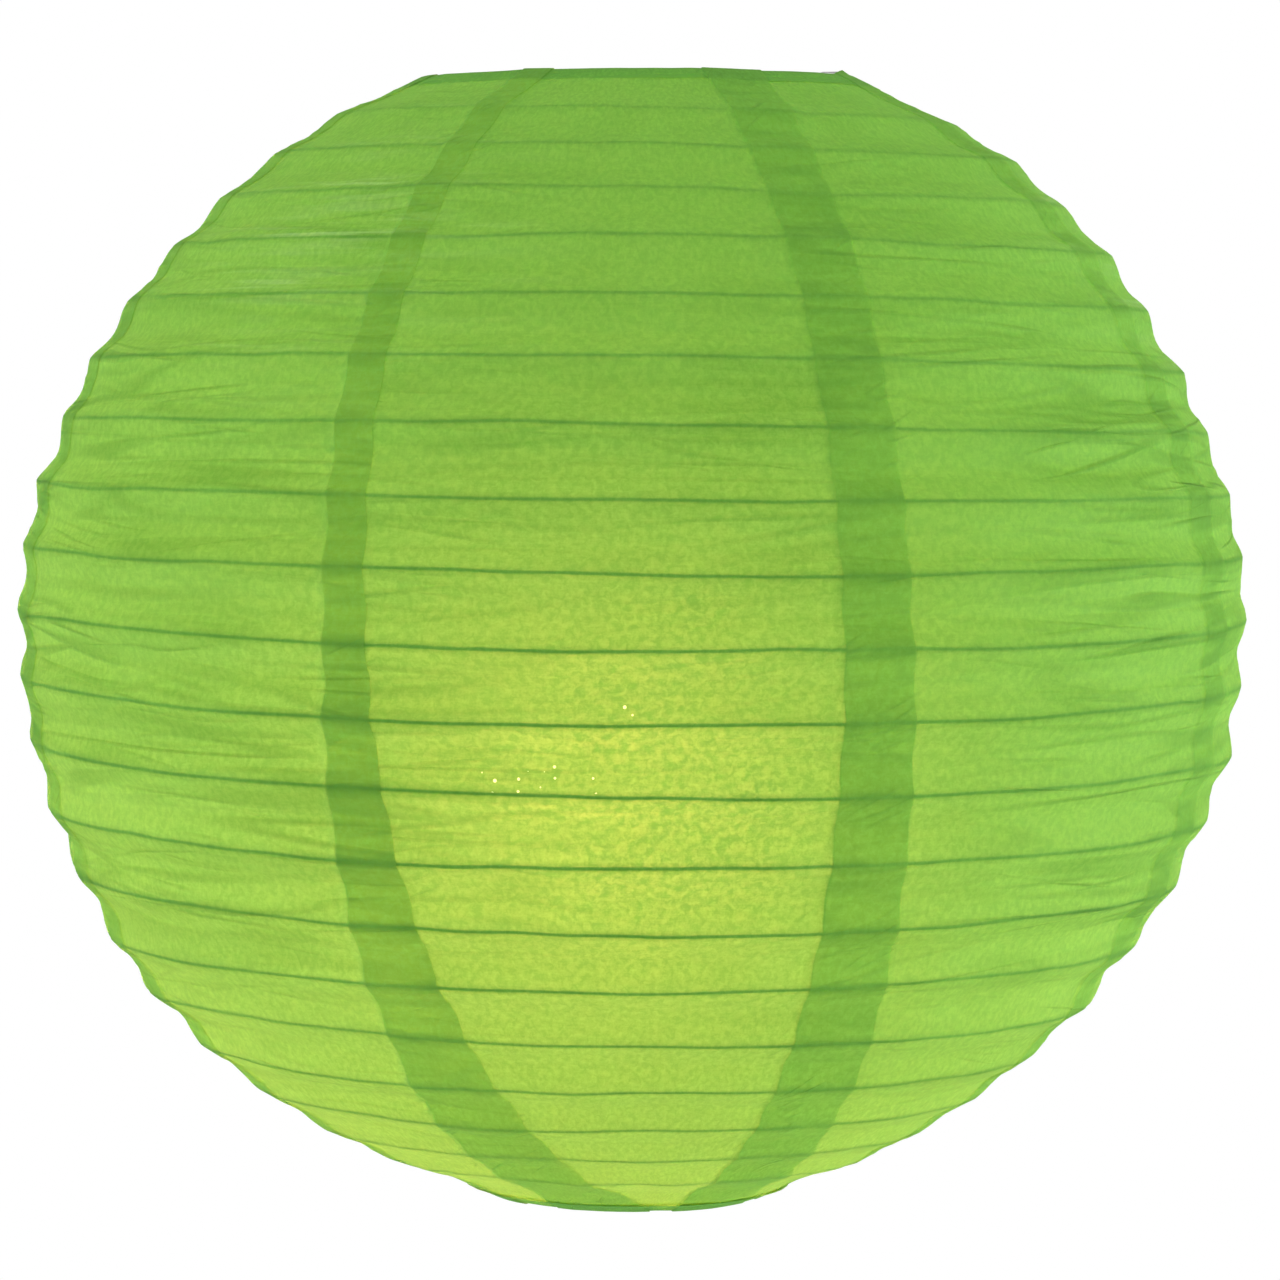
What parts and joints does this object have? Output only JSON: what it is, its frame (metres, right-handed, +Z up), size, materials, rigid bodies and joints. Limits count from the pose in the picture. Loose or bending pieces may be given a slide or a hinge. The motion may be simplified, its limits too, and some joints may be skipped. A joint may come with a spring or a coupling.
{
  "type": "paper lantern",
  "caption": "Round wire-ribbed green paper lantern held open by a wire expander, with a battery lamp hanging inside.",
  "frame": {"origin": "underside of the crown of the expander's hanging loop, on the lantern's vertical axis", "axes": "+Z up along the lantern's axis; the expander's wire lies in the XZ plane; the battery cover faces +Y and the switch -Y"},
  "size_m": [0.401, 0.401, 0.3636],
  "materials": {
    "paper": "translucent rice paper, matt",
    "rib_wire": "thin plated wire",
    "lamp_plastic": "white moulded plastic",
    "frosted_plastic": "frosted, lit from inside",
    "circuit_board": "green board",
    "led_lens": "clear lens, lit",
    "battery_steel": "plain wrapped cell",
    "contact_metal": "nickel plated"
  },
  "bodies": {
    "frame": {"top_rim": "rib_wire", "expander": "rib_wire", "paper_gore_1": "paper", "paper_gore_2": "paper", "paper_gore_3": "paper", "paper_gore_4": "paper", "paper_gore_5": "paper", "paper_gore_6": "paper", "paper_gore_7": "paper", "paper_gore_8": "paper"},
    "rib_01": {"rib_01": "rib_wire"},
    "rib_02": {"rib_02": "rib_wire"},
    "rib_03": {"rib_03": "rib_wire"},
    "rib_04": {"rib_04": "rib_wire"},
    "rib_05": {"rib_05": "rib_wire"},
    "rib_06": {"rib_06": "rib_wire"},
    "rib_07": {"rib_07": "rib_wire"},
    "rib_08": {"rib_08": "rib_wire"},
    "rib_09": {"rib_09": "rib_wire"},
    "rib_10": {"rib_10": "rib_wire"},
    "rib_11": {"rib_11": "rib_wire"},
    "rib_12": {"rib_12": "rib_wire"},
    "rib_13": {"rib_13": "rib_wire"},
    "rib_14": {"rib_14": "rib_wire"},
    "rib_15": {"rib_15": "rib_wire"},
    "rib_16": {"rib_16": "rib_wire"},
    "rib_17": {"rib_17": "rib_wire"},
    "rib_18": {"rib_18": "rib_wire"},
    "rib_19": {"rib_19": "rib_wire"},
    "rib_20": {"rib_20": "rib_wire"},
    "bottom_rim": {"bottom_rim": "rib_wire"},
    "hanger": {"lamp_hanger": "rib_wire"},
    "lamp": {"lamp_housing": "lamp_plastic", "lamp_cap": "lamp_plastic", "lamp_globe": "frosted_plastic", "light_board": "circuit_board", "contact_board": "circuit_board", "contact_plate": "contact_metal", "battery_1": "battery_steel", "battery_2": "battery_steel", "battery_3": "battery_steel", "contact_spring_1": "contact_metal", "contact_spring_2": "contact_metal", "contact_spring_3": "contact_metal", "led_1": "led_lens", "led_2": "led_lens", "led_3": "led_lens"},
    "battery_cover": {"battery_cover": "lamp_plastic"},
    "switch_slider": {"switch_slider": "lamp_plastic"}
  },
  "joints": [
    {"name": "collapse", "type": "slide", "parent": "frame", "child": "bottom_rim", "axis": [0, 0, 1], "range_m": [0, 0.32196], "deforming": ["paper_gore_1", "paper_gore_2", "paper_gore_3", "paper_gore_4", "paper_gore_5", "paper_gore_6", "paper_gore_7", "paper_gore_8"]},
    {"name": "rib_01_lift", "type": "slide", "parent": "frame", "child": "rib_01", "axis": [0, 0, 1], "range_m": [0, 0.01197]},
    {"name": "rib_02_lift", "type": "slide", "parent": "frame", "child": "rib_02", "axis": [0, 0, 1], "range_m": [0, 0.02233]},
    {"name": "rib_03_lift", "type": "slide", "parent": "frame", "child": "rib_03", "axis": [0, 0, 1], "range_m": [0, 0.03447]},
    {"name": "rib_04_lift", "type": "slide", "parent": "frame", "child": "rib_04", "axis": [0, 0, 1], "range_m": [0, 0.04826]},
    {"name": "rib_05_lift", "type": "slide", "parent": "frame", "child": "rib_05", "axis": [0, 0, 1], "range_m": [0, 0.06358]},
    {"name": "rib_06_lift", "type": "slide", "parent": "frame", "child": "rib_06", "axis": [0, 0, 1], "range_m": [0, 0.08025]},
    {"name": "rib_07_lift", "type": "slide", "parent": "frame", "child": "rib_07", "axis": [0, 0, 1], "range_m": [0, 0.09806]},
    {"name": "rib_08_lift", "type": "slide", "parent": "frame", "child": "rib_08", "axis": [0, 0, 1], "range_m": [0, 0.11676]},
    {"name": "rib_09_lift", "type": "slide", "parent": "frame", "child": "rib_09", "axis": [0, 0, 1], "range_m": [0, 0.13607]},
    {"name": "rib_10_lift", "type": "slide", "parent": "frame", "child": "rib_10", "axis": [0, 0, 1], "range_m": [0, 0.15569]},
    {"name": "rib_11_lift", "type": "slide", "parent": "frame", "child": "rib_11", "axis": [0, 0, 1], "range_m": [0, 0.17532]},
    {"name": "rib_12_lift", "type": "slide", "parent": "frame", "child": "rib_12", "axis": [0, 0, 1], "range_m": [0, 0.19466]},
    {"name": "rib_13_lift", "type": "slide", "parent": "frame", "child": "rib_13", "axis": [0, 0, 1], "range_m": [0, 0.21344]},
    {"name": "rib_14_lift", "type": "slide", "parent": "frame", "child": "rib_14", "axis": [0, 0, 1], "range_m": [0, 0.23139]},
    {"name": "rib_15_lift", "type": "slide", "parent": "frame", "child": "rib_15", "axis": [0, 0, 1], "range_m": [0, 0.24829]},
    {"name": "rib_16_lift", "type": "slide", "parent": "frame", "child": "rib_16", "axis": [0, 0, 1], "range_m": [0, 0.26391]},
    {"name": "rib_17_lift", "type": "slide", "parent": "frame", "child": "rib_17", "axis": [0, 0, 1], "range_m": [0, 0.27808]},
    {"name": "rib_18_lift", "type": "slide", "parent": "frame", "child": "rib_18", "axis": [0, 0, 1], "range_m": [0, 0.29064]},
    {"name": "rib_19_lift", "type": "slide", "parent": "frame", "child": "rib_19", "axis": [0, 0, 1], "range_m": [0, 0.30145]},
    {"name": "rib_20_lift", "type": "slide", "parent": "frame", "child": "rib_20", "axis": [0, 0, 1], "range_m": [0, 0.31042]},
    {"name": "hanger_swing", "type": "hinge", "parent": "frame", "child": "hanger", "pos_m": [0, 0, -0.015], "axis": [1, 0, 0], "range_deg": [-20, 20]},
    {"name": "lamp_swing", "type": "hinge", "parent": "hanger", "child": "lamp", "pos_m": [0, 0, -0.10927], "axis": [0, 1, 0], "range_deg": [-3, 3]},
    {"name": "battery_cover_pull", "type": "slide", "parent": "lamp", "child": "battery_cover", "axis": [0, 1, 0], "range_m": [0, 0.02]},
    {"name": "switch_slide", "type": "slide", "parent": "lamp", "child": "switch_slider", "axis": [0, 0, 1], "range_m": [0, 0.003]}
  ],
  "couplings": [
    {"joint": "rib_01_lift", "follows": "collapse", "ratio": 0.037178},
    {"joint": "rib_02_lift", "follows": "collapse", "ratio": 0.069353},
    {"joint": "rib_03_lift", "follows": "collapse", "ratio": 0.10704},
    {"joint": "rib_04_lift", "follows": "collapse", "ratio": 0.14989},
    {"joint": "rib_05_lift", "follows": "collapse", "ratio": 0.19748},
    {"joint": "rib_06_lift", "follows": "collapse", "ratio": 0.24925},
    {"joint": "rib_07_lift", "follows": "collapse", "ratio": 0.30456},
    {"joint": "rib_08_lift", "follows": "collapse", "ratio": 0.36263},
    {"joint": "rib_09_lift", "follows": "collapse", "ratio": 0.42261},
    {"joint": "rib_10_lift", "follows": "collapse", "ratio": 0.48356},
    {"joint": "rib_11_lift", "follows": "collapse", "ratio": 0.54452},
    {"joint": "rib_12_lift", "follows": "collapse", "ratio": 0.60459},
    {"joint": "rib_13_lift", "follows": "collapse", "ratio": 0.66291},
    {"joint": "rib_14_lift", "follows": "collapse", "ratio": 0.71868},
    {"joint": "rib_15_lift", "follows": "collapse", "ratio": 0.77117},
    {"joint": "rib_16_lift", "follows": "collapse", "ratio": 0.8197},
    {"joint": "rib_17_lift", "follows": "collapse", "ratio": 0.86371},
    {"joint": "rib_18_lift", "follows": "collapse", "ratio": 0.90271},
    {"joint": "rib_19_lift", "follows": "collapse", "ratio": 0.93629},
    {"joint": "rib_20_lift", "follows": "collapse", "ratio": 0.96414}
  ]
}
